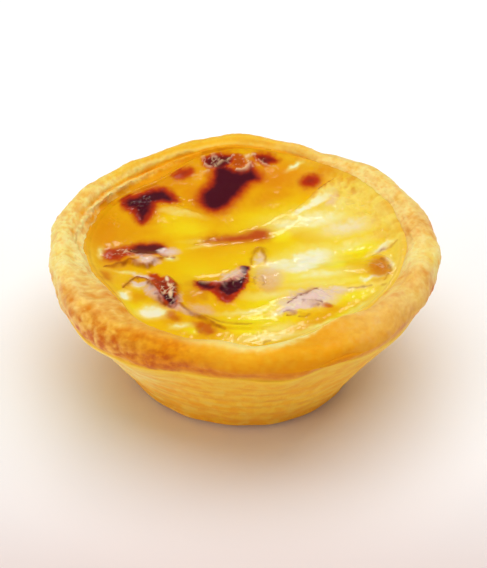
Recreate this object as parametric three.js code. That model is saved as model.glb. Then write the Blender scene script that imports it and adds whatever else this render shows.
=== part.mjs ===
// An egg tart: a baked puff pastry cup with a thick rolled rim, filled with egg custard whose skin has
// blistered, folded and scorched in spots.
//
// Millimetres, +Z up. The origin is the middle of the flat foot that the tart stands on. The front is -Y,
// the right is +X, and azimuths run counter-clockwise from +X, seen from above.

import * as THREE from "three";
import { mergeVertices } from "three/addons/utils/BufferGeometryUtils.js";

// ---- Driving dimensions ----------------------------------------------------------------------------

const RIM_RADIUS = 38; // outside of the rim, at its widest
const RIM_HEIGHT = 29.4; // crest of the rim above the table
const RIM_THICKNESS = 6.5; // height of the rolled rim, from its crest down to the ledge under it
const LEDGE_DEPTH = 1.7; // how far the wall starts inside the rim
const FOOT_RADIUS = 19.3; // flat underside
const FLOOR_THICKNESS = 3.4; // pastry under the custard
const CUSTARD_RADIUS = 30.4; // where the custard meets the pastry
const CUSTARD_HEIGHT = 25.4; // custard's edge above the table, on average
const CUSTARD_SAG = 1.5; // how far the middle of the custard has sunk below its edge
const CLEARANCE = 0.4; // between custard and pastry, measured level

const COLUMNS = 84; // facets round the tart
const WALL_STEPS = 8; // facets up the custard's side
const SKIN_RINGS = 20; // facets from the custard's middle to its edge

// ---- The pastry's unevenness -----------------------------------------------------------------------

// The rim was pressed by hand, so its radius and height wander in slow waves round the tart.
const RIM_WAVES = [
  { lobes: 1, out: 0.35, outPeak: -10, up: 0.2, upPeak: -85 },
  { lobes: 2, out: 0.2, outPeak: -50, up: 0.15, upPeak: 70 },
  { lobes: 3, out: 0.2, outPeak: 55, up: 0.15, upPeak: 15 },
  { lobes: 4, out: 0.35, outPeak: 20, up: 0.1, upPeak: -15 },
  { lobes: 5, out: 0.25, outPeak: 10, up: 0.1, upPeak: -10 },
  { lobes: 6, out: 0.35, outPeak: -15, up: 0, upPeak: 0 },
];
const WALL_WAVES = [
  { lobes: 1, out: 0.35, outPeak: -170 },
  { lobes: 3, out: 0.9, outPeak: -55 },
];

// Single humps and nicks of the rim: azimuth and half-width in degrees, then how far it moves.
const RIM_BUMPS = [
  { at: 64, spread: 5, out: -0.5, up: -0.3 },
  { at: 92, spread: 15, out: 0.2, up: 0.9 },
];

// Where the ledge under the rim dips or rises.
const LEDGE_BUMPS = [
  { at: 222, spread: 28, up: -1.2 },
  { at: 266, spread: 14, up: 0.6 },
  { at: 297, spread: 13, up: 2.3 },
];

// Where the top of the rim is broader and its inner shoulder stands further in, or narrower.
const SHOULDER_BUMPS = [
  { at: 301, spread: 20, out: -3.4, up: 0.3 },
  { at: 216, spread: 18, out: -3, up: 0 },
  { at: 60, spread: 40, out: 0.9, up: 0.1 },
];

// Where the custard's edge reaches further out and climbs the pastry, or stays short of it.
const EDGE_BUMPS = [
  { at: 90, spread: 24, out: 1.9, up: 1.9 },
  { at: 42, spread: 27, out: 1.6, up: 1.7 },
  { at: 126, spread: 13, out: -1.9, up: 0.2 },
  { at: 5, spread: 16, out: 0.7, up: 0.2 },
  { at: 208, spread: 22, out: -3.2, up: 0 },
  { at: 303, spread: 24, out: -2.4, up: 0.8 },
  { at: 332, spread: 16, out: -0.6, up: 0.3 },
];
const CUSTARD_TILT = 0.9; // the custard stands this much higher at the back and lower at the front

// ---- The custard's skin ----------------------------------------------------------------------------

// Blisters and hollows: middle, half-lengths along and across, turn in degrees, and rise.
const SWELLS = [
  { x: -2, y: 21, along: 9, across: 6.5, turn: 70, rise: 1.0 },
  { x: -19, y: 16.5, along: 7, across: 4.5, turn: -10, rise: 0.9 },
  { x: -11, y: 27, along: 4.5, across: 2.5, turn: 25, rise: 0.6 },
  { x: 14, y: 23.5, along: 4, across: 3.5, turn: 0, rise: 0.5 },
  { x: -1, y: 5, along: 8, across: 3, turn: 8, rise: 0.6 },
  { x: -19, y: -0.5, along: 7.5, across: 3.5, turn: -6, rise: 1.1 },
  { x: -15, y: -12, along: 7, across: 4, turn: -50, rise: 1.0 },
  { x: -3.5, y: -10, along: 6, across: 4.5, turn: 20, rise: 1.2 },
  { x: 14, y: 10, along: 12, across: 6, turn: 15, rise: 0.8 },
  { x: 10, y: -5, along: 12, across: 5, turn: 20, rise: 0.9 },
  { x: 25, y: -5.5, along: 4.5, across: 3.5, turn: 30, rise: 0.7 },
  { x: 11, y: -15, along: 8, across: 3.5, turn: 25, rise: 0.8 },
  { x: 3, y: 13, along: 9, across: 4, turn: 35, rise: -0.6 },
  { x: -9, y: -3, along: 7, across: 4, turn: -30, rise: -0.7 },
  { x: 20, y: 1.5, along: 9, across: 3, turn: 10, rise: -0.7 },
];

// Folds where the skin has wrinkled: the line of the crest, its half-width and its rise.
const FOLDS = [
  { line: [[-25, -3], [-21.5, -2], [-18.4, -3], [-15, 0.3]], width: 1.6, rise: 0.7 },
  { line: [[-22.6, -9.6], [-19.8, -6.8], [-16.3, -12], [-15, -14.7]], width: 1.6, rise: 0.9 },
  { line: [[-13.4, -15.4], [-7.1, -18.6], [-2, -21.2], [6, -20.8]], width: 1.6, rise: 0.6 },
  { line: [[-8.6, -5.8], [-5, -8.7], [-1.6, -6.4], [0.6, -1.2]], width: 1.6, rise: 0.8 },
  { line: [[8.9, -14.2], [11.2, -12], [14.6, -9.6]], width: 1.6, rise: 0.7 },
  { line: [[11, -1.5], [20, 0.5], [29, 5]], width: 1.7, rise: 0.6 },
  { line: [[10.5, 15.6], [15.6, 21], [20.5, 25.4]], width: 1.7, rise: 0.9 },
];

// ---- Shape functions -------------------------------------------------------------------------------

const radians = THREE.MathUtils.degToRad;

// 1 at the middle of a bump, falling smoothly to nothing at about twice its spread.
function bell(distance, spread) {
  return Math.exp(-((distance / spread) ** 2));
}

// Signed angle in degrees from one azimuth to another, the short way round.
function turnBetween(from, to) {
  return THREE.MathUtils.euclideanModulo(to - from + 180, 360) - 180;
}

function sumOfBumps(bumps, azimuth, key) {
  return bumps.reduce((sum, bump) => sum + bump[key] * bell(turnBetween(bump.at, azimuth), bump.spread), 0);
}

function sumOfWaves(waves, azimuth, key) {
  return waves.reduce(
    (sum, wave) => sum + wave[key] * Math.cos(radians(wave.lobes * (azimuth - wave[key + "Peak"]))),
    0,
  );
}

// How far the rim stands out from its mean radius, and up from its mean height.
const rimOut = (azimuth) => sumOfWaves(RIM_WAVES, azimuth, "out") + sumOfBumps(RIM_BUMPS, azimuth, "out");
const rimUp = (azimuth) => sumOfWaves(RIM_WAVES, azimuth, "up") + sumOfBumps(RIM_BUMPS, azimuth, "up");

const edgeRadius = (azimuth) => CUSTARD_RADIUS + sumOfBumps(EDGE_BUMPS, azimuth, "out");
const edgeHeight = (azimuth) =>
  CUSTARD_HEIGHT + CUSTARD_TILT * Math.sin(radians(azimuth)) + sumOfBumps(EDGE_BUMPS, azimuth, "up");

// Pastry crags: overlapping ripples in azimuth and along the outline, about a millimetre from peak to dip.
function crags(azimuth, along) {
  const a = radians(azimuth);
  return (
    0.2 * Math.sin(11 * a + 0.9 * along + 1.3) * Math.cos(0.8 * along + 3 * Math.sin(2 * a)) +
    0.16 * Math.sin(17 * a - 1.3 * along + 0.4) +
    0.12 * Math.sin(7 * a + 2.1 * along + 2.2)
  );
}

// Baked sheets of dough show as low steps that run round the wall.
function laminations(azimuth, height) {
  const a = radians(azimuth);
  return 0.17 * Math.sin(1.9 * height + 0.9 * Math.sin(3 * a) + 0.6 * Math.sin(5 * a + 1));
}

// The leaves of dough have sprung apart on the inner slope, most at the back left, and run slightly askew.
const LEAVES = { at: 132, spread: 34, depth: 0.45, count: 2.5, skew: 2 };

function openLeaves(azimuth, share) {
  const open = LEAVES.depth * bell(turnBetween(LEAVES.at, azimuth), LEAVES.spread);
  const turns = LEAVES.count * share + (LEAVES.skew * azimuth) / 360;
  return open * Math.sin(2 * Math.PI * turns) * Math.sin(Math.PI * share);
}

// ---- The pastry cup --------------------------------------------------------------------------------

// The inside of the cup at a share of the way up from its floor to the custard's edge.
const FLOOR_RADIUS = FOOT_RADIUS - 1;
const WALL_BULGE = 0.62; // below 1, the wall is thin low down and thick under the rim

function insideWall(azimuth, share) {
  return new THREE.Vector2(
    FLOOR_RADIUS + (edgeRadius(azimuth) - FLOOR_RADIUS) * share ** WALL_BULGE,
    FLOOR_THICKNESS + (edgeHeight(azimuth) - FLOOR_THICKNESS) * share,
  );
}

// Points on the outside of the wall: height, radius, and how much of the wall's waviness reaches there.
const WALL_POINTS = [
  { height: 0, radius: FOOT_RADIUS, share: 0 },
  { height: 0.8, radius: FOOT_RADIUS + 2.7, share: 0.3 },
  { height: 3, radius: FOOT_RADIUS + 3.8, share: 0.5 },
  { height: 8, radius: FOOT_RADIUS + 7, share: 0.8 },
  { height: 14.5, radius: FOOT_RADIUS + 11.3, share: 1 },
];

// Facets along each span of the outline: up the wall, round the rim, then down the inner slope.
const SPAN_STEPS = [1, 2, 3, 3, 4, 2, 2, 3, 3, 3, 2, 3, 6];
const CREST_SPAN = 10; // number of the span that begins at the crest

// The outline from the edge of the foot, up the outside, over the rim and down to the custard's edge.
function outsideOutline(azimuth) {
  const rim = RIM_RADIUS + rimOut(azimuth);
  const crest = RIM_HEIGHT + rimUp(azimuth);
  const waviness = sumOfWaves(WALL_WAVES, azimuth, "out");
  const ledge = RIM_HEIGHT - RIM_THICKNESS + 0.7 * rimUp(azimuth) + sumOfBumps(LEDGE_BUMPS, azimuth, "up");
  const shoulder = new THREE.Vector2(
    rim - 4.9 + sumOfBumps(SHOULDER_BUMPS, azimuth, "out"),
    crest - 0.9 + sumOfBumps(SHOULDER_BUMPS, azimuth, "up"),
  );
  const edge = insideWall(azimuth, 1);
  return new THREE.SplineCurve([
    ...WALL_POINTS.map(({ height, radius, share }) => new THREE.Vector2(radius + share * waviness, height)),
    new THREE.Vector2(rim - LEDGE_DEPTH, ledge - 1),
    new THREE.Vector2(rim - LEDGE_DEPTH + 0.75, ledge + 0.7),
    new THREE.Vector2(rim - 0.25, ledge + 2.2),
    new THREE.Vector2(rim, crest - 2.7),
    new THREE.Vector2(rim - 1, crest - 0.85),
    new THREE.Vector2(rim - 3, crest),
    shoulder,
    shoulder.clone().lerp(edge, 0.35),
    edge,
  ]);
}

function pastrySection(azimuth) {
  const outline = outsideOutline(azimuth);
  const section = [new THREE.Vector2(0, 0)];
  SPAN_STEPS.forEach((steps, span) => {
    for (let step = 0; step < steps; step++) {
      section.push(roughened(outline, span + step / steps, azimuth));
    }
  });
  for (let step = WALL_STEPS; step >= 0; step--) section.push(insideWall(azimuth, step / WALL_STEPS));
  section.push(new THREE.Vector2(0, FLOOR_THICKNESS));
  return section;
}

// A point of the outline, counted in spans from the foot, pushed in or out by the pastry's relief.
function roughened(outline, place, azimuth) {
  const share = place / SPAN_STEPS.length;
  const point = outline.getPoint(share);
  const along = outline.getTangent(share);
  const outward = new THREE.Vector2(along.y, -along.x);
  const onWall = bell(point.y - 11, 9);
  const pastCrest = Math.max(0, (place - CREST_SPAN) / (SPAN_STEPS.length - CREST_SPAN));
  const relief =
    crags(azimuth, place) * (1 - 0.6 * onWall) +
    laminations(azimuth, point.y) * onWall +
    openLeaves(azimuth, pastCrest);
  return point.addScaledVector(outward, relief * Math.min(1, place, SPAN_STEPS.length - place));
}

// ---- The custard -----------------------------------------------------------------------------------

function swellAt(swell, x, y) {
  const turn = radians(swell.turn);
  const along = (x - swell.x) * Math.cos(turn) + (y - swell.y) * Math.sin(turn);
  const across = -(x - swell.x) * Math.sin(turn) + (y - swell.y) * Math.cos(turn);
  return swell.rise * Math.exp(-((along / swell.along) ** 2) - (across / swell.across) ** 2);
}

const FOLD_POINTS = 16;
const foldLines = FOLDS.map((fold) =>
  new THREE.SplineCurve(fold.line.map(([x, y]) => new THREE.Vector2(x, y))).getPoints(FOLD_POINTS),
);

function foldAt(index, x, y) {
  const here = new THREE.Vector2(x, y);
  const nearest = Math.min(...foldLines[index].map((point) => point.distanceTo(here)));
  return FOLDS[index].rise * bell(nearest, FOLDS[index].width);
}

// Height of the custard's skin at a point given by azimuth and its share of the way out to the edge.
function skinHeight(azimuth, share) {
  const reach = edgeRadius(azimuth) * share;
  const x = reach * Math.cos(radians(azimuth));
  const y = reach * Math.sin(radians(azimuth));
  const level = CUSTARD_HEIGHT - CUSTARD_SAG * (1 - share ** 2) + CUSTARD_TILT * share * Math.sin(radians(azimuth));
  const climb = sumOfBumps(EDGE_BUMPS, azimuth, "up") * share ** 5;
  const swells = SWELLS.reduce((sum, swell) => sum + swellAt(swell, x, y), 0);
  const folds = FOLDS.reduce((sum, _, index) => sum + foldAt(index, x, y), 0);
  return level + climb + (swells + folds) * (1 - share ** 8);
}

function custardSection(azimuth) {
  const bottom = FLOOR_THICKNESS + CLEARANCE;
  const section = [new THREE.Vector2(0, bottom), new THREE.Vector2(FLOOR_RADIUS - CLEARANCE, bottom)];
  for (let step = 1; step <= WALL_STEPS; step++) {
    const wall = insideWall(azimuth, step / WALL_STEPS);
    section.push(new THREE.Vector2(wall.x - CLEARANCE, wall.y));
  }
  const reach = edgeRadius(azimuth) - CLEARANCE;
  for (let ring = SKIN_RINGS - 1; ring >= 0; ring--) {
    const share = ring / SKIN_RINGS;
    section.push(new THREE.Vector2(reach * share, skinHeight(azimuth, share)));
  }
  return section;
}

// ---- Solids ----------------------------------------------------------------------------------------

// A turned solid whose section, from axis to axis, changes with azimuth.
function turned(sectionAt) {
  const rows = sectionAt(0).length;
  const blank = Array.from({ length: rows }, (_, row) => new THREE.Vector2(1, row));
  const geometry = new THREE.LatheGeometry(blank, COLUMNS);
  for (let column = 0; column <= COLUMNS; column++) {
    const azimuth = (360 * (column % COLUMNS)) / COLUMNS;
    sectionAt(azimuth).forEach((point, row) => {
      const x = point.x * Math.cos(radians(azimuth));
      const y = point.x * Math.sin(radians(azimuth));
      geometry.attributes.position.setXYZ(column * rows + row, x, y, point.y);
    });
  }
  geometry.deleteAttribute("normal");
  geometry.deleteAttribute("uv");
  const closed = mergeVertices(geometry, 1e-4);
  closed.computeVertexNormals();
  return closed;
}

function named(name, geometry, material) {
  const mesh = new THREE.Mesh(geometry, material);
  mesh.name = name;
  return mesh;
}

const bakedPastry = new THREE.MeshStandardMaterial({ color: 0xe9b24a, roughness: 0.6, metalness: 0 });
const bakedCustard = new THREE.MeshStandardMaterial({ color: 0xf6bf14, roughness: 0.25, metalness: 0 });

const eggTart = new THREE.Group();
eggTart.name = "egg_tart";
eggTart.add(named("pastry_cup", turned(pastrySection), bakedPastry));
eggTart.add(named("custard", turned(custardSection), bakedCustard));

export default eggTart;
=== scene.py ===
import math
from types import SimpleNamespace

import bpy
import numpy as np
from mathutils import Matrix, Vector, noise


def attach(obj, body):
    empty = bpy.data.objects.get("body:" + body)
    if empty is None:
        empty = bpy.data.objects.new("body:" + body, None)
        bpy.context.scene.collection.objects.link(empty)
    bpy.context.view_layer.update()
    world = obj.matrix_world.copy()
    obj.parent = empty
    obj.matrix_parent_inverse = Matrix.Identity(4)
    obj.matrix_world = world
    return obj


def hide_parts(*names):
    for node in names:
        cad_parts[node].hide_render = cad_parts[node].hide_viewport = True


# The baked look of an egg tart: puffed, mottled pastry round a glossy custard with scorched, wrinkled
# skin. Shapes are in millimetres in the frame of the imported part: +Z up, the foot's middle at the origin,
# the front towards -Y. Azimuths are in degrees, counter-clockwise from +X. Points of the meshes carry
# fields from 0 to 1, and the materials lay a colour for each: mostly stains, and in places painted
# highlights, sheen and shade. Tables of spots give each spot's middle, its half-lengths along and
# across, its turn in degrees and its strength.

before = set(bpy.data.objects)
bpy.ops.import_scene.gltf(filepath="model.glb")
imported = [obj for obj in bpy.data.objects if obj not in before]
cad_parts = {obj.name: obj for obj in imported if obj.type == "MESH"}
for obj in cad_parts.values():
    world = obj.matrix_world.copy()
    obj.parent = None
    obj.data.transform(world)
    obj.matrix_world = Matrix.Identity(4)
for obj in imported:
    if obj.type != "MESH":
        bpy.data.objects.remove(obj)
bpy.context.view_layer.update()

# ---- Sizes of the solids, in millimetres ----

MM = 0.001
RIM_RADIUS = 38
RIM_HEIGHT = 29.4
RIM_THICKNESS = 6.5
LEDGE_DEPTH = 1.7
FOOT_RADIUS = 19.3
FLOOR_THICKNESS = 3.4
FLOOR_RADIUS = FOOT_RADIUS - 1
CUSTARD_RADIUS = 30.4
CUSTARD_HEIGHT = 25.4
CUSTARD_SAG = 1.5
CUSTARD_TILT = 0.9
WALL_BULGE = 0.62

# Slow waves of the rim and the wall: lobes, how far out and its peak's azimuth, then how far up and its
# peak's azimuth.
RIM_WAVES = [
    (1, 0.35, -10, 0.2, -85), (2, 0.2, -50, 0.15, 70), (3, 0.2, 55, 0.15, 15),
    (4, 0.35, 20, 0.1, -15), (5, 0.25, 10, 0.1, -10), (6, 0.35, -15, 0, 0),
]
WALL_WAVES = [(1, 0.35, -170), (3, 0.9, -55)]

# Humps: azimuth and half-width in degrees, then how far out and how far up.
RIM_BUMPS = [(64, 5, -0.5, -0.3), (92, 15, 0.2, 0.9)]
LEDGE_BUMPS = [(222, 28, 0, -1.2), (266, 14, 0, 0.6), (297, 13, 0, 2.3)]
SHOULDER_BUMPS = [(301, 20, -3.4, 0.3), (216, 18, -3, 0), (60, 40, 0.9, 0.1)]
EDGE_BUMPS = [
    (90, 24, 1.9, 1.9), (42, 27, 1.6, 1.7), (126, 13, -1.9, 0.2), (5, 16, 0.7, 0.2),
    (208, 22, -3.2, 0), (303, 24, -2.4, 0.8), (332, 16, -0.6, 0.3),
]

# Leaves of dough that have sprung open: azimuth and half-width in degrees, how far, and how many.
LEAVES = (132, 34)
LEAF_OPENING = 0.45
LEAF_COUNT = 2.5

# The outside of the wall: height, radius, and how much of the wall's waviness reaches there.
WALL_POINTS = [
    (0, FOOT_RADIUS, 0), (0.8, FOOT_RADIUS + 2.7, 0.3), (3, FOOT_RADIUS + 3.8, 0.5),
    (8, FOOT_RADIUS + 7, 0.8), (14.5, FOOT_RADIUS + 11.3, 1),
]

# The rim above it: how far out from the rim's radius, and how far up from the ledge or from the crest. The
# slope to the custard has one point, at SLOPE_SHARE of the way. The ledge follows the crest's waves.
LEDGE_POINTS = [(-LEDGE_DEPTH, -1), (0.75 - LEDGE_DEPTH, 0.7), (-0.25, 2.2)]
CREST_POINTS = [(0, -2.7), (-1, -0.85), (-3, 0)]
SHOULDER_POINT = (-4.9, -0.9)
SLOPE_SHARE = 0.35
LEDGE_FOLLOWS = 0.7

# ---- Fineness ----

# Columns of points round the pastry, and rows in each span of its outline from foot to custard.
COLUMNS = 760
SPAN_ROWS = [3, 5, 9, 11, 14, 8, 8, 10, 10, 9, 8, 9, 14]

# Rows down the cup's inner wall, where custard hides it, and how far the custard reaches into the pastry.
INSIDE_ROWS = 6
SIDE_OVERLAP = 0.15

# Cells across the custard's skin. Past SKIN_FLAT_SHARE of its radius it climbs the pastry's slope by
# EDGE_CLIMB and sinks into it, and the corner between skin and slope is filled.
SKIN_CELLS = 290
SKIN_FLAT_SHARE = 0.965
EDGE_CLIMB = 1.6
EDGE_SINK = 0.8
CORNER_ROUNDING = 0.35
CORNER_REACH = 1.3

# Steps between two given points of a line on the skin, and of a burn's outline.
LINE_STEPS = 6
OUTLINE_STEPS = 5

# Uneven grain of the crust and of the skin: size, seed and octaves.
CRUST_GRAIN = {"lumps": (3.2, 1, 2), "blisters": (1.2, 2, 2), "mottle": (2.2, 4, 4), "crumbs": (0.9, 5, 3)}
SKIN_GRAIN = {
    "drift": (4, 11, 3), "swirl": (4, 12, 3), "fine": (1.3, 13, 3), "tight": (0.6, 16, 2),
    "wrinkle": (2.4, 14, 2), "thread": (1.5, 17, 2),
}
EDGE_GRAIN = (1.6, 15, 3)

# Level streaks on the wall: stretch along each axis, then size, seed and octaves. Pebbles: size.
STREAK_STRETCH = np.array((0.13, 0.13, 1.7))
STREAK_GRAIN = (1, 3, 3)
PEBBLE = np.array((1.5, 1.5, 0.9))

# ---- Arithmetic ----


def bell(distance, spread):
    return np.exp(-((distance / spread) ** 2))


def ramp(low, high, value):
    """0 at low and before it, 1 at high and past it, and smooth between them."""
    t = np.clip((value - low) / (high - low), 0, 1)
    return t * t * (3 - 2 * t)


def turn_between(start, end):
    return (end - start + 180) % 360 - 180


def near(middle, spread, azimuth):
    """1 at the azimuth in the middle, and fading out on both sides of it."""
    return bell(turn_between(middle, azimuth), spread)


def bumps(table, azimuth, column):
    return sum(row[column] * near(row[0], row[1], azimuth) for row in table)


def waves(table, azimuth, column):
    return sum(row[column] * np.cos(np.radians(row[0] * (azimuth - row[column + 1]))) for row in table)


def turned(x, y, degrees):
    angle = math.radians(degrees)
    return x * math.cos(angle) + y * math.sin(angle), y * math.cos(angle) - x * math.sin(angle)


def grain(points, size, seed, octaves):
    """Smooth random values of about -1 to 1, in lumps about `size` across."""
    shift = Vector((seed * 17.3, seed * 5.1, seed * 9.7))
    return np.array([noise.fractal(Vector(p) / size + shift, 1, 2, octaves) for p in points])


def cobbles(points, size):
    """Rounded grains of about `size` across, 1 on their tops and 0 or less between them."""
    nearest_middle = [noise.voronoi(Vector(point))[0][0] for point in points / size]
    return 1 - 1.6 * np.array(nearest_middle)


def spline(points, place):
    """The smooth curve through points, at a place counted in spans from the first point."""
    last = len(points) - 1
    span = min(int(place), last - 1)
    t = place - span
    before, start, end, after = (points[min(max(span + i, 0), last)] for i in (-1, 0, 1, 2))
    leave, arrive = (end - before) / 2, (after - start) / 2
    return (
        (2 * start - 2 * end + leave + arrive) * t**3
        + (3 * end - 3 * start - 2 * leave - arrive) * t**2
        + leave * t
        + start
    )


# ---- Shapes shared with the solids ----


def rim_out(azimuth):
    return waves(RIM_WAVES, azimuth, 1) + bumps(RIM_BUMPS, azimuth, 2)


def rim_up(azimuth):
    return waves(RIM_WAVES, azimuth, 3) + bumps(RIM_BUMPS, azimuth, 3)


def edge_radius(azimuth):
    return CUSTARD_RADIUS + bumps(EDGE_BUMPS, azimuth, 2)


def edge_height(azimuth):
    return CUSTARD_HEIGHT + CUSTARD_TILT * np.sin(np.radians(azimuth)) + bumps(EDGE_BUMPS, azimuth, 3)


def inside_wall(azimuth, share):
    """The cup's inner wall, from its floor at share 0 up to the custard's edge at share 1."""
    radius = FLOOR_RADIUS + (edge_radius(azimuth) - FLOOR_RADIUS) * share**WALL_BULGE
    height = FLOOR_THICKNESS + (edge_height(azimuth) - FLOOR_THICKNESS) * share
    return np.array([radius, height])


def crags(azimuth, along):
    """Slow unevenness of hand-pressed dough, in waves that run round the tart and up its outline."""
    a = np.radians(azimuth)
    return (
        0.2 * np.sin(11 * a + 0.9 * along + 1.3) * np.cos(0.8 * along + 3 * np.sin(2 * a))
        + 0.16 * np.sin(17 * a - 1.3 * along + 0.4)
        + 0.12 * np.sin(7 * a + 2.1 * along + 2.2)
    )


def laminations(azimuth, height):
    """The edges of the dough's thin layers, which run almost level round the wall."""
    a = np.radians(azimuth)
    return 0.17 * np.sin(1.9 * height + 0.9 * np.sin(3 * a) + 0.6 * np.sin(5 * a + 1))


def open_leaves(azimuth, share):
    """Leaves of dough that have sprung open down the inner slope."""
    opening = LEAF_OPENING * near(*LEAVES, azimuth)
    return opening * np.sin(2 * np.pi * (LEAF_COUNT * share + azimuth / 180)) * np.sin(np.pi * share)


def outside_outline(azimuth):
    """Points from the foot up the wall, over the rim and down to the custard, each (radius, height)."""
    rim = RIM_RADIUS + rim_out(azimuth)
    crest = RIM_HEIGHT + rim_up(azimuth)
    ledge = RIM_HEIGHT - RIM_THICKNESS + LEDGE_FOLLOWS * rim_up(azimuth) + bumps(LEDGE_BUMPS, azimuth, 3)
    waviness = waves(WALL_WAVES, azimuth, 1)
    out, up = SHOULDER_POINT
    shoulder = np.array([
        rim + out + bumps(SHOULDER_BUMPS, azimuth, 2),
        crest + up + bumps(SHOULDER_BUMPS, azimuth, 3),
    ])
    edge = inside_wall(azimuth, 1)
    wall = [np.array([radius + wavy * waviness, height + 0 * rim]) for height, radius, wavy in WALL_POINTS]
    lower_rim = [np.array([rim + out, ledge + up]) for out, up in LEDGE_POINTS]
    upper_rim = [np.array([rim + out, crest + up]) for out, up in CREST_POINTS]
    return wall + lower_rim + upper_rim + [shoulder, shoulder + (edge - shoulder) * SLOPE_SHARE, edge]


# ---- The pastry ----

# Where the crust is flaky, browned, crumbly or pale, and where it has baked dry, with the custard beside
# it: azimuth and half-width in degrees, and how much.
FLAKY = [(178, 48, 1), (222, 22, 0.8), (345, 36, 0.75), (40, 34, 0.6), (100, 24, 0.35), (140, 16, 0.3)]
BROWNED = [
    (226, 18, 0.8), (241, 13, 1.3), (208, 16, 0.4), (324, 12, 0.5), (341, 6, 0.6), (9, 7, 0.5),
    (160, 20, 0.2), (20, 20, 0.2),
]
CRUMBLY = [(158, 40, 1), (40, 34, 0.8)]
PALE = [(182, 38, 1), (12, 42, 0.9), (50, 24, 0.8), (338, 18, 0.35), (215, 14, 0.3)]
CRUSTED = [(28, 28, 0.9), (345, 14, 0.4), (186, 16, 0.25)]

# Stretches of the tart with a look of their own: azimuth of the middle and half-width, in degrees.
FRONT = (266, 44)
PALE_LIP_AND_PAINTED_HIGHLIGHT = (290, 56)
LEFT_WALL = (220, 30)
SCUFFS_AND_PAINTED_LIGHT_WALL = (216, 22)
RIGHT_FRONT = (314, 22)
LESS_ORANGE_RIM = (328, 18)
ORANGE_RIM = (296, 18)
CLEAN_EDGE = (178, 32)
TOASTED_EDGE = (95, 14)

# Places up the outline, in spans from the foot: where something begins and where it is whole.
CREST_SPAN = 10
CRAGGY = (1, 4)
BROWNER_FOOT = (3.4, 0.6)
SCUFFS_AND_PAINTED_LIGHT = (2.2, 4)
WALL_ENDS = (4.6, 5.6)
RIM_BEGINS = (5.2, 7)
UPPER_RIM = (6.2, 10.2)
CRUMB_HOLLOWS = (8.5, 10)
INNER_SLOPE = (10.4, 11.4)
LOWER_SLOPE = (11.2, 12.2)
BY_CUSTARD = (12.1, 12.8)
LIP_START = 9.3
LIP_START_AT_RIGHT = 1.5
LIP_TURNS = (272, 300)

# Patches: azimuth and half-width in degrees, strength, and the places where it begins and is whole.
# The first pale patch, on the inner slope at the left, is painted light where the slope lies in shade.
PALE_AND_PAINTED_LIGHT_PATCHES = [(178, 34, 0.8, 10.6, 12.2), (16, 36, 0.6, 10.6, 12.2), (318, 15, 0.45, 7.5, 9.5)]
ORANGE_PATCHES = [(96, 38, 0.7, 10.8, 12)]
RIM_ORANGE_PATCHES = [(345, 26, 0.45, 8, 6.4)]

# Height of the wall's middle, where its layers show most, and how far up and down they show.
LAYERS_HEIGHT = 11
LAYERS_SPREAD = 9


def strength_round(table, azimuth):
    return np.clip(sum(row[2] * near(row[0], row[1], azimuth) for row in table), 0, 1)


def patches(table, azimuth, place):
    return sum(row[2] * near(row[0], row[1], azimuth) * ramp(row[3], row[4], place) for row in table)


def pale_lip_and_painted_highlight(azimuth):
    """Where the pastry's inner lip at the front, and the custard beside it, are pale: partly a paler bake,
    partly a painted highlight along the crest.
    """
    return near(*PALE_LIP_AND_PAINTED_HIGHLIGHT, azimuth)


def survey_crust(azimuth, places, section):
    """What the crust is like at each point: where it lies, its uneven grain, and which part it is of."""
    place = np.array(places)[:, None] + 0 * azimuth
    around = azimuth + 0 * place
    flat = revolved(section, azimuth).reshape(-1, 3)
    grains = {name: grain(flat, *settings) for name, settings in CRUST_GRAIN.items()}
    grains["streaks"] = grain(flat * STREAK_STRETCH, *STREAK_GRAIN)
    grains["pebbles"] = cobbles(flat, PEBBLE)
    crust = SimpleNamespace(**{name: values.reshape(place.shape) for name, values in grains.items()})
    crust.place, crust.around, crust.height = place, around, section[:, 1]
    crust.on_rim = ramp(*RIM_BEGINS, place)
    crust.flaky = strength_round(FLAKY, around) * crust.on_rim
    past_crest = np.clip((place - CREST_SPAN) / (len(SPAN_ROWS) - CREST_SPAN), 0, 1)
    crust.leaves = open_leaves(around, past_crest)
    # The pale lip in front, partly a painted highlight along the crest.
    lip_start = LIP_START + LIP_START_AT_RIGHT * ramp(*LIP_TURNS, around)
    crust.lip = ramp(0, 0.9, place - lip_start + 0.3 * crust.mottle) * pale_lip_and_painted_highlight(around)
    return crust


def crust_relief(crust):
    """How far each point of the crust stands out of the smooth outline."""
    around, place = crust.around, crust.place
    on_wall = bell(crust.height - LAYERS_HEIGHT, LAYERS_SPREAD)
    smooth_band = 1 - crust.flaky
    calm_foot = 0.35 + 0.65 * ramp(*CRAGGY, place)
    crumbly = ramp(*INNER_SLOPE, place) * strength_round(CRUMBLY, around)
    return (
        crags(around, place) * (1 - 0.75 * on_wall) * calm_foot
        + 0.4 * laminations(around, crust.height) * on_wall
        + crust.leaves * (0.8 + 0.9 * crust.lumps + 0.7 * crust.crumbs)
        + crust.flaky * (0.3 * crust.lumps + 0.06 * crust.pebbles + 0.12 * crust.crumbs)
        + 0.07 * smooth_band * crust.on_rim * crust.blisters
        + 0.05 * crust.streaks * (on_wall + 0.6 * crust.on_rim * smooth_band)
        + 0.12 * crust.streaks * near(*LEFT_WALL, around) * on_wall
        + 0.1 * crust.mottle * near(*RIGHT_FRONT, around) * crust.on_rim
        + crumbly * (0.35 * crust.lumps + 0.18 * crust.crumbs)
    )


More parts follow.
